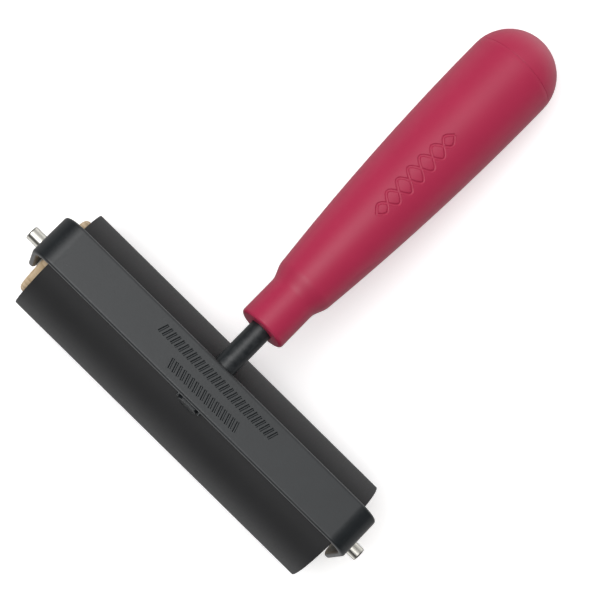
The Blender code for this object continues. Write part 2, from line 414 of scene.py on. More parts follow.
class Graph:
    """A shader node tree with short ways to add and join nodes."""

    def __init__(self, tree: NodeTree) -> None:
        """Starts on a node tree.

        Args:
            tree: The tree that nodes are added to.
        """
        self.tree = tree

    def add(self, kind: str, **settings: str) -> Node:
        """Adds a node.

        Args:
            kind: Its type.
            **settings: Its properties.

        Returns:
            The node.
        """
        made = self.tree.nodes.new(kind)
        for name, value in settings.items():
            setattr(made, name, value)
        return made

    def feed(self, socket: NodeSocket, value: Value) -> None:
        """Sets a socket, or joins another socket to it.

        Args:
            socket: The input.
            value: A number, a colour or an output socket.
        """
        if isinstance(value, NodeSocket):
            self.tree.links.new(value, socket)
        else:
            socket.default_value = value

    def math(self, operation: str, first: Value, second: Value = 0.0) -> NodeSocket:
        """Adds a Math node.

        Args:
            operation: What it does.
            first: Its first value.
            second: Its second value.

        Returns:
            Its output.
        """
        made = self.add("ShaderNodeMath", operation=operation)
        self.feed(made.inputs[0], first)
        self.feed(made.inputs[1], second)
        return made.outputs[0]

    def per(self, size: NodeSocket) -> NodeSocket:
        """Returns how many lumps of a size go into one unit."""
        return self.math("DIVIDE", 1.0, size)

    def stretch(self, vector: NodeSocket, factors: Triple) -> NodeSocket:
        """Scales a vector by a factor along each axis.

        Args:
            vector: The vector.
            factors: The three factors.

        Returns:
            The scaled vector.
        """
        made = self.add("ShaderNodeVectorMath", operation="MULTIPLY")
        self.feed(made.inputs[0], vector)
        self.feed(made.inputs[1], factors)
        return made.outputs[0]

    def noise(
        self, vector: NodeSocket, scale: Value, detail: float = 3.0, roughness: float = 0.5
    ) -> NodeSocket:
        """Adds a noise texture.

        Args:
            vector: Where it is read.
            scale: Its lumps per unit.
            detail: How many finer layers it has.
            roughness: How strong those are.

        Returns:
            Its value.
        """
        made = self.add("ShaderNodeTexNoise")
        self.feed(made.inputs["Vector"], vector)
        self.feed(made.inputs["Scale"], scale)
        self.feed(made.inputs["Detail"], detail)
        self.feed(made.inputs["Roughness"], roughness)
        return made.outputs["Fac"]

    def span(
        self, value: Value, low: Value, high: Value, to_low: float = 0.0, to_high: float = 1.0
    ) -> NodeSocket:
        """Maps a range of values to another with soft ends.

        Args:
            value: The value.
            low: Where the range starts.
            high: Where it ends.
            to_low: The result at its start.
            to_high: The result at its end.

        Returns:
            The mapped value.
        """
        made = self.add("ShaderNodeMapRange", interpolation_type="SMOOTHSTEP")
        for socket, given in zip(made.inputs, (value, low, high, to_low, to_high)):
            self.feed(socket, given)
        return made.outputs["Result"]

    def blend(self, factor: Value, under: Value, colour: Colour) -> NodeSocket:
        """Lays a colour over another.

        Args:
            factor: How much of the upper colour there is.
            under: The colour below.
            colour: The colour on top.

        Returns:
            The mixed colour.
        """
        made = self.add("ShaderNodeMix", data_type="RGBA", blend_type="MIX")
        self.feed(made.inputs[MIX_FACTOR], factor)
        self.feed(made.inputs[MIX_FIRST], under)
        self.feed(made.inputs[MIX_SECOND], (*colour, 1.0))
        return made.outputs[MIX_RESULT]

    def tinge(self, mask: NodeSocket, share: float, under: Value, colour: Colour) -> NodeSocket:
        """Lays a colour over another where a mask is high.

        Args:
            mask: Where the upper colour lies.
            share: How much of it there is where the mask is 1.
            under: The colour below.
            colour: The colour on top.

        Returns:
            The mixed colour.
        """
        return self.blend(self.math("MULTIPLY", mask, share), under, colour)


class EffectKind(Enum):
    """The shared effects that finishes are made from."""

    RELIEF = "surface_relief"
    DRIFT = "tone_drift"
    SPECKS = "fine_specks"
    SCRATCHES = "fine_scratches"
    EDGE_WEAR = "edge_wear"


def new_group(
    kind: EffectKind, inputs: dict[str, tuple], output: tuple[str, str]
) -> tuple[Graph, Node, NodeSocket]:
    """Starts a node group with its sockets.

    Args:
        kind: The effect that the group makes.
        inputs: Each input's name, with its socket type and its first value.
        output: The output's name and socket type.

    Returns:
        The group's graph, the node that its inputs come from, and the socket that its result goes to.
    """
    tree = bpy.data.node_groups.new(kind.value, "ShaderNodeTree")
    for name, (socket_type, value) in inputs.items():
        socket = tree.interface.new_socket(name=name, in_out="INPUT", socket_type=socket_type)
        if value is not None:
            socket.default_value = value
    tree.interface.new_socket(name=output[0], in_out="OUTPUT", socket_type=output[1])
    graph = Graph(tree)
    return graph, graph.add("NodeGroupInput"), graph.add("NodeGroupOutput").inputs[0]


def relief_group() -> NodeTree:
    """Makes the relief of a coated, moulded or ground surface: soft lumps with a fine grain on them.

    Returns:
        The group, which puts out a height between 0 and 1.
    """
    inputs = {
        "Vector": (VECTOR, None),
        "Lump Size": (FLOAT, 1.0),
        "Grain Size": (FLOAT, 0.2),
        "Grain Share": (FLOAT, 0.3),
    }
    graph, source, result = new_group(EffectKind.RELIEF, inputs, ("Height", FLOAT))
    place, share = source.outputs["Vector"], source.outputs["Grain Share"]
    lumps = graph.noise(place, graph.per(source.outputs["Lump Size"]), detail=2.0, roughness=0.45)
    grain = graph.noise(place, graph.per(source.outputs["Grain Size"]), detail=3.0, roughness=0.6)
    kept = graph.math("MULTIPLY", lumps, graph.math("SUBTRACT", 1.0, share))
    graph.feed(result, graph.math("ADD", kept, graph.math("MULTIPLY", grain, share)))
    return graph.tree


def drift_group() -> NodeTree:
    """Makes the slow drift of a colour over a surface, lighter in one place and darker in another.

    Returns:
        The group, which puts out the drifted colour.
    """
    inputs = {
        "Vector": (VECTOR, None),
        "Colour": (COLOUR, None),
        "Patch Size": (FLOAT, 8.0),
        "Amount": (FLOAT, 0.1),
    }
    graph, source, result = new_group(EffectKind.DRIFT, inputs, ("Colour", COLOUR))
    size = graph.per(source.outputs["Patch Size"])
    patches = graph.noise(source.outputs["Vector"], size, detail=4.0, roughness=0.55)
    centred = graph.math("SUBTRACT", patches, 0.5)
    swing = graph.math("MULTIPLY", source.outputs["Amount"], 2.0)
    level = graph.math("ADD", graph.math("MULTIPLY", centred, swing), 1.0)
    made = graph.add("ShaderNodeVectorMath", operation="SCALE")
    graph.feed(made.inputs[0], source.outputs["Colour"])
    graph.feed(made.inputs["Scale"], level)
    graph.feed(result, made.outputs[0])
    return graph.tree


def specks_group() -> NodeTree:
    """Makes scattered specks, such as dust or pin marks.

    Returns:
        The group, which puts out a mask.
    """
    inputs = {
        "Vector": (VECTOR, None),
        "Spacing": (FLOAT, 1.0),
        "Speck Size": (FLOAT, 0.1),
        "Share": (FLOAT, 0.3),
    }
    graph, source, result = new_group(EffectKind.SPECKS, inputs, ("Mask", FLOAT))
    cells = graph.add("ShaderNodeTexVoronoi")
    graph.feed(cells.inputs["Vector"], source.outputs["Vector"])
    graph.feed(cells.inputs["Scale"], graph.per(source.outputs["Spacing"]))
    size = source.outputs["Speck Size"]
    core = graph.math("MULTIPLY", size, SPECK_CORE)
    dots = graph.span(cells.outputs["Distance"], core, size, 1.0, 0.0)
    channel = graph.add("ShaderNodeSeparateColor")
    graph.feed(channel.inputs[0], cells.outputs["Color"])
    chosen = graph.math("LESS_THAN", channel.outputs[0], source.outputs["Share"])
    graph.feed(result, graph.math("MULTIPLY", dots, chosen))
    return graph.tree


def scratches_group() -> NodeTree:
    """Makes fine straight scratches along one direction of a stretched vector.

    Returns:
        The group, which puts out a mask.
    """
    inputs = {
        "Vector": (VECTOR, None),
        "Line Size": (FLOAT, 0.1),
        "Share": (FLOAT, 0.2),
    }
    graph, source, result = new_group(EffectKind.SCRATCHES, inputs, ("Mask", FLOAT))
    size = graph.per(source.outputs["Line Size"])
    lines = graph.noise(source.outputs["Vector"], size, detail=2.0, roughness=0.65)
    lowered = graph.math("MULTIPLY", source.outputs["Share"], SCRATCH_SPREAD)
    start = graph.math("SUBTRACT", SCRATCH_LEVEL, lowered)
    graph.feed(result, graph.span(lines, start, graph.math("ADD", start, SCRATCH_SOFTNESS)))
    return graph.tree


def edge_wear_group() -> NodeTree:
    """Makes the rubbed look of outer edges, broken up by a noise.

    Returns:
        The group, which puts out a mask.
    """
    inputs = {
        "Vector": (VECTOR, None),
        "Pointiness": (FLOAT, 0.5),
        "Start": (FLOAT, 0.52),
        "End": (FLOAT, 0.6),
        "Break Size": (FLOAT, 1.0),
    }
    graph, source, result = new_group(EffectKind.EDGE_WEAR, inputs, ("Mask", FLOAT))
    edges = graph.span(*[source.outputs[name] for name in ("Pointiness", "Start", "End")])
    size = graph.per(source.outputs["Break Size"])
    breaks = graph.noise(source.outputs["Vector"], size, detail=4.0, roughness=0.6)
    graph.feed(result, graph.math("MULTIPLY", edges, graph.span(breaks, *WEAR_BREAKS)))
    return graph.tree


class Effects:
    """The shared node groups, each built once."""

    def __init__(self) -> None:
        """Builds every group."""
        self.groups = {
            EffectKind.RELIEF: relief_group(),
            EffectKind.DRIFT: drift_group(),
            EffectKind.SPECKS: specks_group(),
            EffectKind.SCRATCHES: scratches_group(),
            EffectKind.EDGE_WEAR: edge_wear_group(),
        }

    def use(self, graph: Graph, kind: EffectKind, **values: Value) -> NodeSocket:
        """Places a group in a material.

        Args:
            graph: The material's graph.
            kind: The effect.
            **values: Its inputs, their names in lower case with underscores.

        Returns:
            The group's output.
        """
        made = graph.add("ShaderNodeGroup")
        made.node_tree = self.groups[kind]
        for name, value in values.items():
            graph.feed(made.inputs[name.replace("_", " ").title()], value)
        return made.outputs[0]


@dataclass(frozen=True)
class Finish:
    """What every finish has: a name, a base colour and a roughness.

    Patterns are sized in millimetres, and reliefs in metres. A factor named for a direction, such as
    along or around, is below 1 and draws a pattern out that way.
    """

    name: str
    colour: Colour
    roughness: float

    def start(self) -> tuple[Material, Graph, Node, NodeSocket]:
        """Starts the material.

        Returns:
            The material, its graph, its shader, and object coordinates in millimetres.
        """
        material = bpy.data.materials.new(self.name)
        material.use_nodes = True
        graph = Graph(material.node_tree)
        shader = material.node_tree.nodes["Principled BSDF"]
        graph.feed(shader.inputs["Base Color"], self.tint())
        graph.feed(shader.inputs["Roughness"], self.roughness)
        place = graph.add("ShaderNodeTexCoord").outputs["Object"]
        return material, graph, shader, graph.stretch(place, (MM_PER_METRE,) * 3)

    def tint(self) -> tuple[float, ...]:
        """Returns the base colour with full alpha."""
        return (*self.colour, 1.0)

    def uneven(self, graph: Graph, height: NodeSocket, smoother: float, rougher: float) -> NodeSocket:
        """Lets the roughness follow a relief.

        Args:
            graph: The material's graph.
            height: The relief, from 0 to 1.
            smoother: How much smoother the hollows are.
            rougher: How much rougher the lumps are.

        Returns:
            The roughness.
        """
        return graph.span(height, *RELIEF_RANGE, self.roughness - smoother, self.roughness + rougher)

    def bump(self, graph: Graph, shader: Node, height: NodeSocket, depth: float) -> None:
        """Gives the surface a relief.

        Args:
            graph: The material's graph.
            shader: Its shader.
            height: The relief, from 0 to 1.
            depth: How deep it is, in metres.
        """
        made = graph.add("ShaderNodeBump")
        graph.feed(made.inputs["Distance"], depth)
        graph.feed(made.inputs["Height"], height)
        graph.feed(shader.inputs["Normal"], made.outputs["Normal"])


@dataclass(frozen=True)
class BlackCoat(Finish):
    """Satin black coating on steel, with a slight orange peel, rubbed edges and a little dust."""

    peel_size: float = 0.55
    peel_depth: float = 0.016 * MM
    smoother: float = 0.04
    rougher: float = 0.05
    rubbed: Colour = (0.075, 0.077, 0.08)
    rubbed_share: float = 0.5
    dust: Colour = (0.13, 0.13, 0.13)
    dust_share: float = 0.6

    def build(self, effects: Effects) -> Material:
        """Builds the material.

        Args:
            effects: The shared node groups.

        Returns:
            The material.
        """
        material, graph, shader, place = self.start()
        drifted = effects.use(
            graph, EffectKind.DRIFT, vector=place, colour=self.tint(), patch_size=5.0, amount=0.18
        )
        point = graph.add("ShaderNodeNewGeometry").outputs["Pointiness"]
        wear = effects.use(
            graph,
            EffectKind.EDGE_WEAR,
            vector=place,
            pointiness=point,
            start=0.53,
            end=0.62,
            break_size=1.5,
        )
        dust = effects.use(
            graph, EffectKind.SPECKS, vector=place, spacing=1.4, speck_size=0.06, share=0.25
        )
        worn = graph.tinge(wear, self.rubbed_share, drifted, self.rubbed)
        graph.feed(shader.inputs["Base Color"], graph.tinge(dust, self.dust_share, worn, self.dust))
        relief = effects.use(
            graph,
            EffectKind.RELIEF,
            vector=place,
            lump_size=self.peel_size,
            grain_size=0.14,
            grain_share=0.25,
        )
        graph.feed(shader.inputs["Roughness"], self.uneven(graph, relief, self.smoother, self.rougher))
        self.bump(graph, shader, relief, self.peel_depth)
        return material


@dataclass(frozen=True)
class RedPlastic(Finish):
    """Satin moulded plastic, slightly uneven in colour and gloss."""

    relief_depth: float = 0.006 * MM
    smoother: float = 0.02
    rougher: float = 0.03
    shine: float = 0.3
    speck: Colour = (0.2, 0.02, 0.04)
    speck_share: float = 0.35
    scratch_along: float = 0.06
    scratch_polish: float = 0.03

    def build(self, effects: Effects) -> Material:
        """Builds the material.

        Args:
            effects: The shared node groups.

        Returns:
            The material.
        """
        material, graph, shader, place = self.start()
        shader.inputs["Specular IOR Level"].default_value = self.shine
        drifted = effects.use(
            graph, EffectKind.DRIFT, vector=place, colour=self.tint(), patch_size=14.0, amount=0.06
        )
        scratch = effects.use(
            graph,
            EffectKind.SCRATCHES,
            vector=graph.stretch(place, (1.0, self.scratch_along, 1.0)),
            line_size=0.35,
            share=0.12,
        )
        specks = effects.use(
            graph, EffectKind.SPECKS, vector=place, spacing=2.2, speck_size=0.05, share=0.3
        )
        marked = graph.tinge(specks, self.speck_share, drifted, self.speck)
        graph.feed(shader.inputs["Base Color"], marked)
        relief = effects.use(
            graph, EffectKind.RELIEF, vector=place, lump_size=0.7, grain_size=0.16, grain_share=0.4
        )
        polish = graph.math("MULTIPLY", scratch, self.scratch_polish)
        uneven = self.uneven(graph, relief, self.smoother, self.rougher)
        graph.feed(shader.inputs["Roughness"], graph.math("SUBTRACT", uneven, polish))
        self.bump(graph, shader, relief, self.relief_depth)
        return material


@dataclass(frozen=True)
class GroundRubber(Finish):
    """Matte black rubber, ground round its axis, with a trace of dust."""

    dust: Colour = (0.05, 0.05, 0.05)
    dust_share: float = 0.5
    ring_size: float = 0.12
    ring_share: float = 0.45
    ring_depth: float = 0.008 * MM
    rings_around: float = 0.05
    uneven_by: float = 0.05
    shine: float = 0.36

    def build(self, effects: Effects) -> Material:
        """Builds the material.

        Args:
            effects: The shared node groups.

        Returns:
            The material.
        """
        material, graph, shader, place = self.start()
        shader.inputs["Specular IOR Level"].default_value = self.shine
        drifted = effects.use(
            graph, EffectKind.DRIFT, vector=place, colour=self.tint(), patch_size=9.0, amount=0.2
        )
        specks = effects.use(
            graph, EffectKind.SPECKS, vector=place, spacing=1.1, speck_size=0.07, share=0.3
        )
        dusty = graph.tinge(specks, self.dust_share, drifted, self.dust)
        graph.feed(shader.inputs["Base Color"], dusty)
        rings = effects.use(
            graph,
            EffectKind.RELIEF,
            vector=graph.stretch(place, (1.0, self.rings_around, self.rings_around)),
            lump_size=self.ring_size,
            grain_size=0.05,
            grain_share=0.35,
        )
        grain = effects.use(
            graph, EffectKind.RELIEF, vector=place, lump_size=0.35, grain_size=0.1, grain_share=0.5
        )
        ringed = graph.math("MULTIPLY", rings, self.ring_share)
        height = graph.math("ADD", ringed, graph.math("MULTIPLY", grain, 1 - self.ring_share))
        uneven = self.uneven(graph, height, self.uneven_by, self.uneven_by)
        graph.feed(shader.inputs["Roughness"], uneven)
        self.bump(graph, shader, height, self.ring_depth)
        return material


@dataclass(frozen=True)
class TurnedWood(Finish):
    """Bare turned hardwood: growth rings round a pith off to one side, with pores along the grain."""

    late_wood: Colour = (0.40, 0.27, 0.14)
    late_share: float = 0.85
    late_sharpness: float = 2.5
    pore: Colour = (0.26, 0.17, 0.09)
    pore_share: float = 0.45
    pore_range: tuple[float, float] = (0.56, 0.68)
    pore_height: float = 0.4
    pith: Triple = (0.0, 62.0, -24.0)
    ring_gap: float = 1.5
    ring_wander: float = 4.0
    wander_scale: float = 0.16
    wander_along: float = 0.06
    fibre_scale: float = 4.5
    fibre_along: float = 0.12
    fibre_height: float = 0.6
    grain_depth: float = 0.03 * MM
    smoother: float = 0.06
    rougher: float = 0.08

    def build(self, effects: Effects) -> Material:
        """Builds the material.

        Args:
            effects: The shared node groups.

        Returns:
            The material.
        """
        material, graph, shader, place = self.start()
        centred = graph.add("ShaderNodeMapping")
        graph.feed(centred.inputs["Vector"], place)
        centred.inputs["Location"].default_value = self.pith
        slow = graph.stretch(centred.outputs[0], (self.wander_along, 1.0, 1.0))
        wander = graph.noise(slow, self.wander_scale)
        across = graph.add("ShaderNodeSeparateXYZ")
        graph.feed(across.inputs[0], centred.outputs[0])
        squares = [graph.math("POWER", across.outputs[i], 2.0) for i in (1, 2)]
        away = graph.math("SQRT", graph.math("ADD", *squares))
        bent = graph.math("ADD", away, graph.math("MULTIPLY", wander, self.ring_wander))
        ring = graph.math("FRACT", graph.math("DIVIDE", bent, self.ring_gap))
        late = graph.math("POWER", ring, self.late_sharpness)
        base = graph.tinge(late, self.late_share, self.tint(), self.late_wood)
        drifted = effects.use(
            graph, EffectKind.DRIFT, vector=place, colour=base, patch_size=6.0, amount=0.12
        )
        drawn_out = graph.stretch(centred.outputs[0], (self.fibre_along, 1.0, 1.0))
        fibres = graph.noise(drawn_out, self.fibre_scale, roughness=0.6)
        pores = graph.span(fibres, *self.pore_range)
        dark = graph.tinge(pores, self.pore_share, drifted, self.pore)
        graph.feed(shader.inputs["Base Color"], dark)
        graph.feed(shader.inputs["Roughness"], self.uneven(graph, fibres, self.smoother, self.rougher))
        raised = graph.math("MULTIPLY", fibres, self.fibre_height)
        height = graph.math("SUBTRACT", raised, graph.math("MULTIPLY", pores, self.pore_height))
        self.bump(graph, shader, height, self.grain_depth)
        return material


@dataclass(frozen=True)
class BrightSteel(Finish):
    """Bright drawn steel rod with fine lines along it and a little tarnish."""

    tarnish: Colour = (0.31, 0.29, 0.23)
    tarnish_share: float = 0.35
    tarnish_range: tuple[float, float] = (0.5, 0.75)
    cloud_scale: float = 0.45
    cloud_range: tuple[float, float] = (0.4, 0.8)
    cloud_dulling: float = 0.08
    line_along: float = 0.05
    line_dulling: float = 0.12
    line_depth: float = 0.003 * MM

    def build(self, effects: Effects) -> Material:
        """Builds the material.

        Args:
            effects: The shared node groups.

        Returns:
            The material.
        """
        material, graph, shader, place = self.start()
        shader.inputs["Metallic"].default_value = 1.0
        clouds = graph.noise(place, self.cloud_scale, detail=4.0, roughness=0.6)
        stains = graph.span(clouds, *self.tarnish_range, 0.0, self.tarnish_share)
        stained = graph.blend(stains, self.tint(), self.tarnish)
        drifted = effects.use(
            graph, EffectKind.DRIFT, vector=place, colour=stained, patch_size=1.6, amount=0.08
        )
        graph.feed(shader.inputs["Base Color"], drifted)
        lines = effects.use(
            graph,
            EffectKind.SCRATCHES,
            vector=graph.stretch(place, (self.line_along, 1.0, 1.0)),
            line_size=0.12,
            share=0.5,
        )
        lined = graph.math("ADD", self.roughness, graph.math("MULTIPLY", lines, self.line_dulling))
        dulled = graph.span(clouds, *self.cloud_range, 0.0, self.cloud_dulling)
        graph.feed(shader.inputs["Roughness"], graph.math("ADD", lined, dulled))
        self.bump(graph, shader, lines, self.line_depth)
        return material


@dataclass(frozen=True)
class Nylon(Finish):
    """Natural white nylon, turned, slightly yellowed."""

    yellowed: Colour = (0.66, 0.60, 0.46)
    yellowed_share: float = 0.5
    cloud_scale: float = 0.35
    cloud_range: tuple[float, float] = (0.35, 0.8)
    speck: Colour = (0.3, 0.28, 0.24)
    speck_share: float = 0.4
    turning_around: float = 0.1
    turning_depth: float = 0.006 * MM

    def build(self, effects: Effects) -> Material:
        """Builds the material.

        Args:
            effects: The shared node groups.

        Returns:
            The material.
        """
        material, graph, shader, place = self.start()
        clouds = graph.noise(place, self.cloud_scale)
        patches = graph.span(clouds, *self.cloud_range, 0.0, self.yellowed_share)
        aged = graph.blend(patches, self.tint(), self.yellowed)
        specks = effects.use(
            graph, EffectKind.SPECKS, vector=place, spacing=0.8, speck_size=0.08, share=0.3
        )
        graph.feed(shader.inputs["Base Color"], graph.tinge(specks, self.speck_share, aged, self.speck))
        relief = effects.use(
            graph,
            EffectKind.RELIEF,
            vector=graph.stretch(place, (1.0, self.turning_around, self.turning_around)),
            lump_size=0.2,
            grain_size=0.08,
            grain_share=0.4,
        )
        self.bump(graph, shader, relief, self.turning_depth)
        return material


@dataclass
class Finishes:
    """Every finish of the brayer, built from the shared effects."""

    effects: Effects
    coat: Material = field(init=False)
    plastic: Material = field(init=False)
    rubber: Material = field(init=False)
    wood: Material = field(init=False)
    steel: Material = field(init=False)
    nylon: Material = field(init=False)

    def __post_init__(self) -> None:
        """Builds the materials."""
        self.coat = BlackCoat("black_coat", (0.014, 0.0165, 0.0185), 0.34).build(self.effects)
        self.plastic = RedPlastic("red_moulded_plastic", (0.415, 0.026, 0.074), 0.38).build(self.effects)
        self.rubber = GroundRubber("ground_rubber", (0.0135, 0.0135, 0.0145), 0.58).build(self.effects)
        self.wood = TurnedWood("turned_wood", (0.62, 0.47, 0.30), 0.6).build(self.effects)
        self.steel = BrightSteel("bright_rod", (0.44, 0.43, 0.395), 0.10).build(self.effects)
        self.nylon = Nylon("white_nylon_turned", (0.78, 0.76, 0.70), 0.42).build(self.effects)


# ---------------------------------------------------------------------------- the roller


@dataclass
class Roller:
    """The rubber sleeve on its wooden core, with a flanged bush in each end."""

    stance: Stance
    finishes: Finishes
    sleeve_edge: float = 0.22 * MM
    core_edge: float = 1.2 * MM
    core_bore: float = 2.8 * MM
    seat: float = 4.05 * MM
    seat_depth: float = 12.1 * MM
    bush_bore: float = 2.06 * MM
    bush_edge: float = 0.25 * MM
    flange: float = 0.7 * MM
    joint_gap: float = 0.02 * MM

    def span(self, node: str) -> tuple[float, float, float]:
        """Measures a round CAD node on the axle.

        Args:
            node: Its name.

        Returns:
            Where it starts and ends along the axle, and its radius.
        """
        low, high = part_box(node)
        return low.x, high.x, (high.z - low.z) / 2

    def piece(self, name: str, outline: list[Point], steps: int) -> Object:
        """Turns one of the roller's pieces, which don't lean with the frame.

        Args:
            name: The piece's name.
            outline: Its section above the axle.
            steps: How many facets go round.

        Returns:
            The piece, shaded smooth.
        """
        bm = turned(outline, Axis.ALONG_AXLE, steps, closed=True)
        obj = placed_object(name, bm, Matrix.Translation(self.stance.axle))
        smooth(obj, flat_faces=True)
        return obj

    def build(self) -> list[Object]:
        """Builds the four pieces.

        Returns:
            The finished pieces.
        """
        return [self.sleeve(), self.core(), self.bush(Side.LEFT), self.bush(Side.RIGHT)]

    def sleeve(self) -> Object:
        """Builds the rubber sleeve, cut square with a trace of rounding.

        Returns:
            The sleeve.
        """
        start, end, radius = self.span("rubber_sleeve")
        _, _, bore = self.span("wood_core")
        bore += self.joint_gap
        edge = self.sleeve_edge
        outline = [
            (start, bore),
            *arc((start + edge, radius - edge), edge, 180, 90),
            *arc((end - edge, radius - edge), edge, 90, 0),
            (end, bore),
        ]
        obj = self.piece("rubber_tube", outline, ROUND)
        return dress(obj, self.finishes.rubber, "roller", "rubber_sleeve")

    def core(self) -> Object:
        """Builds the wooden core: rounded ends, a bore, and a seat for each bush.

        Returns:
            The core.
        """
        start, end, radius = self.span("wood_core")
        edge = self.core_edge
        outline = [
            (start + self.seat_depth, self.core_bore),
            (start + self.seat_depth, self.seat),
            (start, self.seat),
            *arc((start + edge, radius - edge), edge, 180, 90, 2 * EDGE_STEPS),
            *arc((end - edge, radius - edge), edge, 90, 0, 2 * EDGE_STEPS),
            (end, self.seat),
            (end - self.seat_depth, self.seat),
            (end - self.seat_depth, self.core_bore),
        ]
        obj = self.piece("wooden_core", outline, ROUND)
        return dress(obj, self.finishes.wood, "roller", "wood_core")

    def bush(self, side: Side) -> Object:
        """Builds one flanged bush.

        Args:
            side: The end of the roller that it sits in.

        Returns:
            The bush.
        """
        node = f"{side.name.lower()}_bush"
        start, end, radius = self.span(node)
        outer, inner = (end, start) if side is Side.RIGHT else (start, end)
        inward = -side.value
        under = outer + inward * self.flange
        edge = self.bush_edge
        body = self.seat - self.joint_gap
        outline = [
            (inner, self.bush_bore),
            (inner, body - edge),
            (inner - inward * edge, body),
            (under, body),
            (under, radius - edge / 2),
            (under - inward * edge / 2, radius),
            (outer + inward * edge, radius),
            (outer, radius - edge),
            (outer, self.bush_bore + edge),
            (outer + inward * edge, self.bush_bore),
        ]
        obj = self.piece(f"{side.name.lower()}_nylon_bush", outline, SMALL_ROUND)
        return dress(obj, self.finishes.nylon, "roller", node)


# ---------------------------------------------------------------------------- the axle


@dataclass
class Axle:
    """The plain bright rod that the roller turns on, with rounded and slightly dimpled ends."""

    stance: Stance
    finishes: Finishes
    end_edge: float = 0.45 * MM
    dimple: float = 0.9 * MM
    dimple_depth: float = 0.25 * MM

    def build(self) -> Object:
        """Builds the rod.

        Returns:
            The rod.
        """
        low, high = self.stance.extent("axle")
        radius = (high.z - low.z) / 2
        edge = self.end_edge
        outline = [
            (low.x + self.dimple_depth, 0.0),
            (low.x, self.dimple),
            *arc((low.x + edge, radius - edge), edge, 180, 90),
            *arc((high.x - edge, radius - edge), edge, 90, 0),
            (high.x, self.dimple),
            (high.x - self.dimple_depth, 0.0),
        ]
        bm = turned(outline, Axis.ALONG_AXLE, SMALL_ROUND)
        obj = placed_object("axle_rod", bm, self.stance.matrix())
        smooth(obj, flat_faces=True)
        return dress(obj, self.finishes.steel, "frame", "axle")


# ---------------------------------------------------------------------------- the yoke


@dataclass(frozen=True)
class BarRow:
    """A row of slanting bars: its ends and middle line on the strip, and how far a bar's tips lean."""

    start: float
    end: float
    middle: float
    slant: float


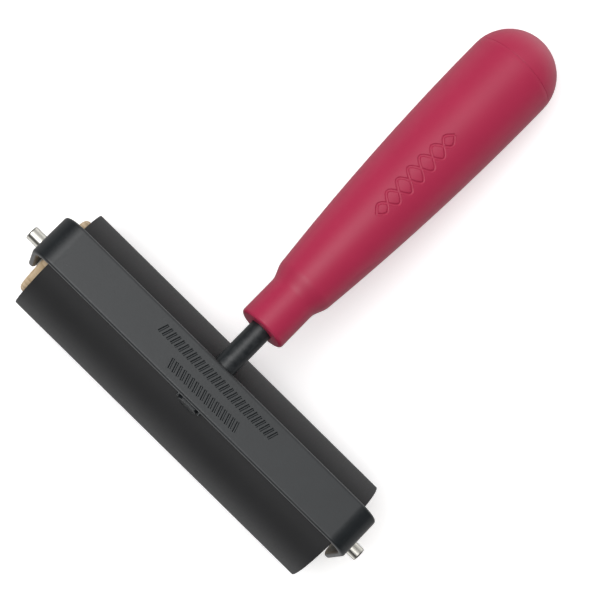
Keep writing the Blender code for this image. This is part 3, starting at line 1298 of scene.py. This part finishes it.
@dataclass
class Yoke:
    """The bent strip over the roller, with round arm ends and two rows of pressed bars.

    The number of facets round the blank isn't a multiple of four, so that no corner of its outline
    lies on the middle line, where the two ends part. The skin keeps the back inside the CAD box.
    """

    stance: Stance
    finishes: Finishes
    width: float = 12.7 * MM
    thickness: float = 1.9 * MM
    arris: float = 0.8 * MM
    bend_radius: float = 6.5 * MM
    hole: float = 2.03 * MM
    end_facets: int = 94
    bend_steps: int = 24
    bar_reach: float = 1.4 * MM
    bar_radius: float = 0.42 * MM
    bar_depth: float = 0.34 * MM
    bar_pitch: float = 1.45 * MM
    skin: float = 0.015 * MM
    rows: tuple[BarRow, ...] = (
        BarRow(-18.6 * MM, 21.4 * MM, 2.45 * MM, 0.45 * MM),
        BarRow(-11.0 * MM, 13.2 * MM, -2.6 * MM, -0.45 * MM),
    )
    height: float = field(init=False)
    half_span: float = field(init=False)

    def __post_init__(self) -> None:
        """Measures how far the strip's back lies above the axle, and half the width over the arms."""
        back = Vector(frame["record"]["mounts"][0]["pos_m"])
        self.height = (back - self.stance.axle).length - self.skin
        low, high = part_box("yoke")
        self.half_span = (high.x - low.x) / 2

    def lengths(self) -> tuple[float, float, float]:
        """Splits half the flat blank into its stretches.

        Returns:
            Half the flat back, the strip in one bend, and one arm down to the axle.
        """
        back = self.half_span - self.bend_radius
        bend = (self.bend_radius - self.thickness / 2) * pi / 2
        return back, bend, self.height - self.bend_radius

    def fold(self, point: Vector) -> Vector:
        """Carries a point of the flat blank onto the bent yoke.

        Args:
            point: The point, x along the blank and z up from its middle plane.

        Returns:
            The point on the yoke, in the tool's own axes.
        """
        back, bend, _ = self.lengths()
        middle = self.bend_radius - self.thickness / 2
        side = 1 if point.x >= 0 else -1
        past = max(abs(point.x) - back, 0.0)
        angle = min(past, bend) / middle
        down = max(past - bend, 0.0)
        out = middle + point.z
        along = min(abs(point.x), back) + out * sin(angle)
        height = self.height - self.bend_radius + out * cos(angle) - down
        return Vector((side * along, point.y, height))

    def blank(self) -> BMesh:
        """Builds the flat strip with round ends and rounded arrises.

        Returns:
            The blank, centred on the origin.
        """
        back, bend, arm = self.lengths()
        half = back + bend + arm
        bm = bmesh.new()
        bmesh.ops.create_circle(bm, cap_ends=True, segments=self.end_facets, radius=self.width / 2)
        for vert in bm.verts:
            vert.co.x += half if vert.co.x > 0 else -half
        bmesh.ops.translate(bm, verts=bm.verts, vec=(0, 0, -self.thickness / 2))
        raised = bmesh.ops.extrude_face_region(bm, geom=bm.faces[:])["geom"]
        top = [item for item in raised if isinstance(item, BMVert)]
        bmesh.ops.translate(bm, verts=top, vec=(0, 0, self.thickness))
        bmesh.ops.recalc_face_normals(bm, faces=bm.faces)
        rims = [edge for edge in bm.edges if abs(edge.verts[0].co.z - edge.verts[1].co.z) < WELD]
        round_rims(bm, rims, self.arris, EDGE_STEPS)
        return bm

    def score(self, bm: BMesh) -> None:
        """Cuts the blank's faces across at each step of the bends.

        Args:
            bm: The blank.
        """
        back, bend, _ = self.lengths()
        for side in Side:
            for i in range(self.bend_steps + 1):
                place = side.value * (back + bend * i / self.bend_steps)
                bmesh.ops.bisect_plane(
                    bm,
                    geom=bm.verts[:] + bm.edges[:] + bm.faces[:],
                    dist=WELD,
                    plane_co=(place, 0, 0),
                    plane_no=(1, 0, 0),
                )

    def bars(self) -> Object:
        """Builds the tool that presses the two rows of slanting bars into the strip's back.

        Returns:
            The tool.
        """
        matrix = self.stance.matrix()
        height = self.height + self.bar_radius - self.bar_depth
        paths = []
        for row in self.rows:
            length = row.end - row.start
            count = round(length / self.bar_pitch)
            for i in range(count):
                centre = Vector((row.start + (i + 0.5) * length / count, row.middle, height))
                reach = Vector((row.slant, self.bar_reach, 0))
                paths.append([matrix @ (centre + side.value * reach) for side in Side])
        return cords("bar_tool", paths, self.bar_radius)

    def build(self) -> Object:
        """Builds the yoke.

        Returns:
            The yoke.
        """
        bm = self.blank()
        self.score(bm)
        for vert in bm.verts:
            vert.co = self.fold(vert.co)
        obj = placed_object("yoke_strap", bm, self.stance.matrix())
        reach = 2 * self.half_span
        drill = turned(
            [(-reach, 0.0), (-reach, self.hole), (reach, self.hole), (reach, 0.0)],
            Axis.ALONG_AXLE,
            SMALL_ROUND,
        )
        carve(obj, placed_object("drill", drill, self.stance.matrix()))
        carve(obj, self.bars())
        smooth(obj, flat_faces=True)
        return dress(obj, self.finishes.coat, "frame", "yoke")


# ---------------------------------------------------------------------------- the shaft and its weld


@dataclass
class Shaft:
    """The round shaft welded under the strip, with a grooved tang in the handle."""

    stance: Stance
    finishes: Finishes
    yoke: Yoke
    end_edge: float = 0.3 * MM
    tang_grooves: int = 4
    groove_depth: float = 0.45 * MM
    groove_width: float = 1.4 * MM
    groove_pitch: float = 8.0 * MM
    seam_gap: float = 0.02 * MM
    bead_radius: float = 0.72 * MM
    bead_front: float = 7.0 * MM
    bead_back: float = 5.9 * MM
    bead_bluntness: int = 12
    bead_tuck: float = 0.25
    ripples: int = 13
    ripple_steps: int = 8
    ripple_depth: float = 0.08 * MM
    front: float = field(init=False)
    back: float = field(init=False)
    radius: float = field(init=False)
    height: float = field(init=False)

    def __post_init__(self) -> None:
        """Measures the shaft's two ends, its radius and the height of its middle."""
        low, high = self.stance.extent("shaft")
        self.front, self.back = low.y, high.y
        self.radius = (high.x - low.x) / 2
        self.height = low.z + self.radius

    def underside(self) -> float:
        """Returns how far the strip's underside lies above the axle."""
        return self.yoke.height - self.yoke.thickness

    def outline(self) -> list[Point]:
        """Draws half the shaft's section.

        Returns:
            Its points from the front end to the back.
        """
        radius, edge = self.radius, self.end_edge
        points = [(self.front, 0.0), *arc((self.front + edge, radius - edge), edge, 180, 90)]
        for i in range(self.tang_grooves):
            start = self.back - self.groove_pitch * (self.tang_grooves - i)
            points += [
                (start, radius),
                (start + self.groove_depth, radius - self.groove_depth),
                (start + self.groove_width, radius - self.groove_depth),
                (start + self.groove_width + self.groove_depth, radius),
            ]
        return points + [*arc((self.back - edge, radius - edge), edge, 90, 0), (self.back, 0.0)]

    def build(self) -> list[Object]:
        """Builds the shaft and its two weld beads.

        Returns:
            The three pieces.
        """
        bm = turned(self.outline(), Axis.ALONG_HANDLE, SMALL_ROUND, self.height)
        obj = placed_object("handle_shaft", bm, self.stance.matrix())
        cutter = bmesh.new()
        bmesh.ops.create_cube(cutter, size=1.0)
        start, end = self.front - self.end_edge, self.yoke.width / 2 + self.seam_gap
        flat = self.underside() - self.seam_gap
        size = Matrix.Diagonal((4 * self.radius, end - start, 2 * self.radius, 1.0))
        place = Matrix.Translation((0, (start + end) / 2, flat + self.radius))
        bmesh.ops.transform(cutter, matrix=place @ size, verts=cutter.verts)
        carve(obj, placed_object("flat_cutter", cutter, self.stance.matrix()))
        smooth(obj, flat_faces=True)
        dress(obj, self.finishes.coat, "frame", "shaft")
        return [obj, self.bead(Side.LEFT), self.bead(Side.RIGHT)]

    def bead(self, side: Side) -> Object:
        """Builds one rippled weld bead in the corner between shaft and strip.

        Args:
            side: The side of the shaft that it runs along.

        Returns:
            The bead.
        """
        node = f"{side.name.lower()}_weld_bead"
        low, high = self.stance.extent(node)
        middle = (low.x + high.x) / 2
        height = (low.z + high.z) / 2
        steps = self.ripple_steps * self.ripples
        length, shift = self.bead_front + self.bead_back, (self.bead_back - self.bead_front) / 2
        outline = []
        for i in range(steps + 1):
            share = 2 * i / steps - 1
            dome = sqrt(max(1 - share**self.bead_bluntness, 0.0))
            ripple = self.ripple_depth * abs(sin(pi * self.ripples * i / steps))
            outline.append((share * length / 2 + shift, dome * (self.bead_radius - ripple)))
        bm = turned(outline, Axis.ALONG_HANDLE, SMALL_ROUND // 3, height)
        inward = self.bead_tuck * self.bead_radius * side.value
        bmesh.ops.translate(bm, verts=bm.verts, vec=(middle - inward, 0, 0))
        obj = placed_object(f"{side.name.lower()}_weld", bm, self.stance.matrix())
        smooth(obj)
        return dress(obj, self.finishes.coat, "frame", node)


# ---------------------------------------------------------------------------- the handle


@dataclass
class Handle:
    """The moulded handle with its domed cap and a plain plait of two waves pressed into its back.

    Places along the handle are measured from the collar's front face, apart from the plait's and the
    dome's, which are measured from the axle. The skin keeps the dome inside the CAD box.
    """

    stance: Stance
    finishes: Finishes
    shaft: Shaft
    collar_radius: float = 6.85 * MM
    collar_rim: float = 0.9 * MM
    shoulder_start: float = 11.3 * MM
    shoulder_end: float = 16.8 * MM
    shoulder_steps: int = 20
    grip_start_radius: float = 8.45 * MM
    grip_length: float = 95.3 * MM
    grip_steps: int = 100
    socket_gap: float = 0.06 * MM
    socket_mouth: float = 0.3 * MM
    tang_length: float = 58.1 * MM
    hollow_radius: float = 8.2 * MM
    hollow_depth: float = 30.0 * MM
    seam_gap: float = 0.015 * MM
    seam_edge: float = 0.06 * MM
    seam_corner: float = 0.018 * MM
    skin: float = 0.005 * MM
    cap_wall: float = 3.6 * MM
    spigot_length: float = 8.0 * MM
    spigot_wall: float = 2.0 * MM
    wave_start: float = 60.6 * MM
    wave_end: float = 90.0 * MM
    wave_middle: float = 0.3 * MM
    wave_swing: float = 2.7 * MM
    wave_count: float = 3.5
    wave_fade: float = 0.35
    groove_radius: float = 0.5 * MM
    groove_depth: float = 0.28 * MM
    wave_steps: int = 200
    face: float = field(init=False)
    seam: float = field(init=False)
    dome_centre: float = field(init=False)
    radius: float = field(init=False)

    def __post_init__(self) -> None:
        """Measures the collar's face, the seam, the dome's centre and the grip's radius."""
        low, high = self.stance.extent("handle")
        self.face, self.seam = low.y, high.y
        self.dome_centre = self.face + self.grip_length
        self.radius = self.stance.extent("end_cap")[1].y - self.dome_centre - self.skin

    def surface(self, along: float) -> float:
        """Works out the radius of the handle's outside.

        Args:
            along: A place along the handle, from the collar's front face.

        Returns:
            The radius there.
        """
        if along < self.shoulder_start:
            return self.collar_radius
        if along < self.shoulder_end:
            share = (along - self.shoulder_start) / (self.shoulder_end - self.shoulder_start)
            return self.collar_radius + (self.grip_start_radius - self.collar_radius) * ease(share)
        rise = self.radius - self.grip_start_radius
        run = self.grip_length - self.shoulder_end
        barrel = (run * run + rise * rise) / (2 * rise)
        back = self.grip_length - along
        return self.radius - barrel + sqrt(barrel * barrel - back * back)

    def build(self) -> list[Object]:
        """Builds the handle and its cap.

        Returns:
            The two pieces.
        """
        return [self.grip(), self.cap()]

    def grip(self) -> Object:
        """Builds the handle from its collar to the seam.

        Returns:
            The handle.
        """
        past = self.seam - self.dome_centre
        rear = self.grip_length + past
        at_seam = sqrt(self.radius**2 - past**2)
        socket = self.shaft.radius + self.socket_gap
        rim = self.collar_rim
        start, rise = self.shoulder_start, self.shoulder_end - self.shoulder_start
        shoulder = [start + rise * i / self.shoulder_steps for i in range(self.shoulder_steps)]
        run = self.grip_length - self.shoulder_end
        grip = [self.shoulder_end + run * i / self.grip_steps for i in range(self.grip_steps + 1)]
        outline = [
            (self.tang_length, 0.0),
            (self.tang_length, socket),
            (self.socket_mouth, socket),
            (0.0, socket + self.socket_mouth),
            *arc((rim, self.collar_radius - rim), rim, 180, 90, 2 * EDGE_STEPS),
            *[(along, self.surface(along)) for along in shoulder + grip],
            (rear - self.seam_edge, at_seam),
            (rear - self.seam_corner, at_seam - self.seam_corner),
            (rear, at_seam - self.seam_edge),
            (rear, self.hollow_radius),
            (rear - self.hollow_depth, self.hollow_radius),
            (rear - self.hollow_depth, 0.0),
        ]
        points = [(self.face + along, out) for along, out in outline]
        bm = turned(points, Axis.ALONG_HANDLE, ROUND, self.shaft.height)
        obj = placed_object("handle_grip", bm, self.stance.matrix())
        for phase in (0.0, 1.0):
            carve(obj, self.wave(phase))
        smooth(obj)
        return dress(obj, self.finishes.plastic, "frame", "handle")

    def wave(self, phase: float) -> Object:
        """Builds the tool that presses one wave line of the plait into the handle's back.

        Args:
            phase: Where the wave starts, in half turns.

        Returns:
            The tool.
        """
        matrix = self.stance.matrix()
        lift = self.groove_radius - self.groove_depth
        path = []
        for i in range(self.wave_steps + 1):
            share = i / self.wave_steps
            along = self.wave_start + (self.wave_end - self.wave_start) * share
            swing = self.wave_swing * sin(pi * share) ** self.wave_fade
            across = self.wave_middle + swing * sin(pi * (2 * self.wave_count * share + phase))
            out = self.surface(along - self.face) + lift
            angle = asin(across / out)
            place = Vector((out * sin(angle), along, self.shaft.height + out * cos(angle)))
            path.append(matrix @ place)
        return cords("wave_tool", [path], self.groove_radius)

    def cap(self) -> Object:
        """Builds the domed cap with its spigot.

        Returns:
            The cap.
        """
        radius, centre = self.radius, self.dome_centre
        face = self.seam + self.seam_gap
        start = degrees(asin((face + self.seam_edge - centre) / radius))
        inner = radius - self.cap_wall
        spigot = self.hollow_radius - self.socket_gap
        bore = spigot - self.spigot_wall
        mouth = degrees(asin(bore / inner))
        at_seam = radius * cos(radians(start))
        outline = [
            (centre + inner, 0.0),
            *arc((centre, 0.0), inner, 0, mouth, 3 * EDGE_STEPS)[1:],
            (face - self.spigot_length, bore),
            (face - self.spigot_length, spigot),
            (face, spigot),
            (face, at_seam - self.seam_edge),
            (face + self.seam_corner, at_seam - self.seam_corner),
            *arc((centre, 0.0), radius, 90 - start, 0, 10 * EDGE_STEPS)[:-1],
            (centre + radius, 0.0),
        ]
        bm = turned(outline, Axis.ALONG_HANDLE, ROUND, self.shaft.height)
        obj = placed_object("handle_dome", bm, self.stance.matrix())
        smooth(obj)
        return dress(obj, self.finishes.plastic, "frame", "end_cap")


# ---------------------------------------------------------------------------- the studio


@dataclass(frozen=True)
class Glow:
    """A soft round light far off, brightest in its middle."""

    azimuth: float
    elevation: float
    radiance: float
    tightness: float

    def build(self, graph: Graph, direction: NodeSocket) -> NodeSocket:
        """Adds the light to the surround.

        Args:
            graph: The surround's graph.
            direction: The direction that is looked in.

        Returns:
            Its radiance in that direction.
        """
        turn, lift = radians(self.azimuth), radians(self.elevation)
        middle = (cos(lift) * cos(turn), cos(lift) * sin(turn), sin(lift))
        facing = graph.add("ShaderNodeVectorMath", operation="DOT_PRODUCT")
        graph.feed(facing.inputs[0], direction)
        graph.feed(facing.inputs[1], middle)
        away = graph.math("SUBTRACT", facing.outputs["Value"], 1.0)
        fall = graph.math("EXPONENT", graph.math("MULTIPLY", away, self.tightness))
        return graph.math("MULTIPLY", fall, self.radiance)


@dataclass
class Studio:
    """A plain pale floor that gives off a little light, soft glows round the tool, and the camera.

    Shiny pieces mirror the dim light from under the horizon in place of the floor.
    """

    eye: Triple = (-13.9011 * MM, -25.2228 * MM, 622.6469 * MM)
    aim: Triple = (2.5891 * MM, -20.2330 * MM, 0.0)
    up_azimuth: float = 134.68647
    lens: float = 138.948
    sensor: float = 36.0
    floor_size: float = 6.0
    floor_cells: int = 8
    floor_tone: Colour = (0.86, 0.86, 0.86)
    floor_roughness: float = 0.9
    floor_shine: float = 0.1
    floor_glow: float = 0.42
    surround: float = 0.03
    under: float = 0.4
    horizon: float = 0.05
    backdrop: Colour = (0.93, 0.93, 0.93)
    glows: tuple[Glow, ...] = (
        Glow(208.0, 72.0, 5.6, 16.0),
        Glow(0.0, 90.0, 0.8, 16.0),
        Glow(120.0, 60.0, 1.8, 16.0),
        Glow(92.0, 20.0, 0.8, 8.0),
        Glow(270.0, -18.0, 1.3, 7.0),
        Glow(90.0, -18.0, 1.1, 7.0),
    )

    def build(self) -> None:
        """Builds the floor, the surround and the camera."""
        self.floor()
        self.world()
        self.camera()

    def floor(self) -> Object:
        """Builds the floor.

        Returns:
            The floor.
        """
        bm = bmesh.new()
        cells = self.floor_cells
        bmesh.ops.create_grid(bm, x_segments=cells, y_segments=cells, size=self.floor_size / 2)
        obj = placed_object("studio_floor", bm, Matrix.Translation((0, 0, CAD_BOX[0][2])))
        material = bpy.data.materials.new("pale_floor")
        material.use_nodes = True
        shader = material.node_tree.nodes["Principled BSDF"]
        shader.inputs["Base Color"].default_value = (*self.floor_tone, 1.0)
        shader.inputs["Roughness"].default_value = self.floor_roughness
        shader.inputs["Specular IOR Level"].default_value = self.floor_shine
        shader.inputs["Emission Color"].default_value = (1.0, 1.0, 1.0, 1.0)
        shader.inputs["Emission Strength"].default_value = self.floor_glow
        obj.data.materials.append(material)
        obj.visible_glossy = False
        return obj

    def world(self) -> None:
        """Sets the glows, the pale backdrop that the camera sees past the floor, and plain colours."""
        scene = bpy.context.scene
        scene.world = bpy.data.worlds.new("studio")
        scene.world.use_nodes = True
        graph = Graph(scene.world.node_tree)
        light = scene.world.node_tree.nodes["Background"]
        direction = graph.add("ShaderNodeTexCoord").outputs["Generated"]
        split = graph.add("ShaderNodeSeparateXYZ")
        graph.feed(split.inputs[0], direction)
        total = graph.span(split.outputs["Z"], -self.horizon, self.horizon, self.under, self.surround)
        for glow in self.glows:
            total = graph.math("ADD", glow.build(graph, direction), total)
        shade = graph.add("ShaderNodeCombineColor")
        for socket in shade.inputs:
            graph.feed(socket, total)
        graph.feed(light.inputs["Color"], shade.outputs[0])
        backdrop = graph.add("ShaderNodeBackground")
        backdrop.inputs["Color"].default_value = (*self.backdrop, 1.0)
        seen = graph.add("ShaderNodeMixShader")
        graph.feed(seen.inputs[0], graph.add("ShaderNodeLightPath").outputs["Is Camera Ray"])
        graph.feed(seen.inputs[1], light.outputs[0])
        graph.feed(seen.inputs[2], backdrop.outputs[0])
        graph.feed(scene.world.node_tree.nodes["World Output"].inputs["Surface"], seen.outputs[0])
        scene.view_settings.view_transform = "Standard"
        scene.view_settings.look = "None"

    def camera(self) -> Object:
        """Builds the camera and makes it the scene's.

        Returns:
            The camera.
        """
        data = bpy.data.cameras.new("camera")
        data.lens = self.lens
        data.sensor_width = self.sensor
        obj = bpy.data.objects.new("camera", data)
        eye = Vector(self.eye)
        back = (eye - Vector(self.aim)).normalized()
        turn = radians(self.up_azimuth)
        right = Vector((cos(turn), sin(turn), 0.0)).cross(back).normalized()
        rows = Matrix((right, back.cross(right), back)).transposed().to_4x4()
        obj.matrix_world = Matrix.Translation(eye) @ rows
        bpy.context.scene.collection.objects.link(obj)
        bpy.context.scene.camera = obj
        return obj


def main() -> None:
    """Builds the brayer piece by piece and then the studio round it."""
    logging.basicConfig(level=logging.INFO, format="%(name)s: %(message)s")
    stance = Stance.of_frame()
    finishes = Finishes(Effects())
    Roller(stance, finishes).build()
    Axle(stance, finishes).build()
    yoke = Yoke(stance, finishes)
    yoke.build()
    shaft = Shaft(stance, finishes, yoke)
    shaft.build()
    Handle(stance, finishes, shaft).build()
    Studio().build()


if __name__ == "__main__":
    main()
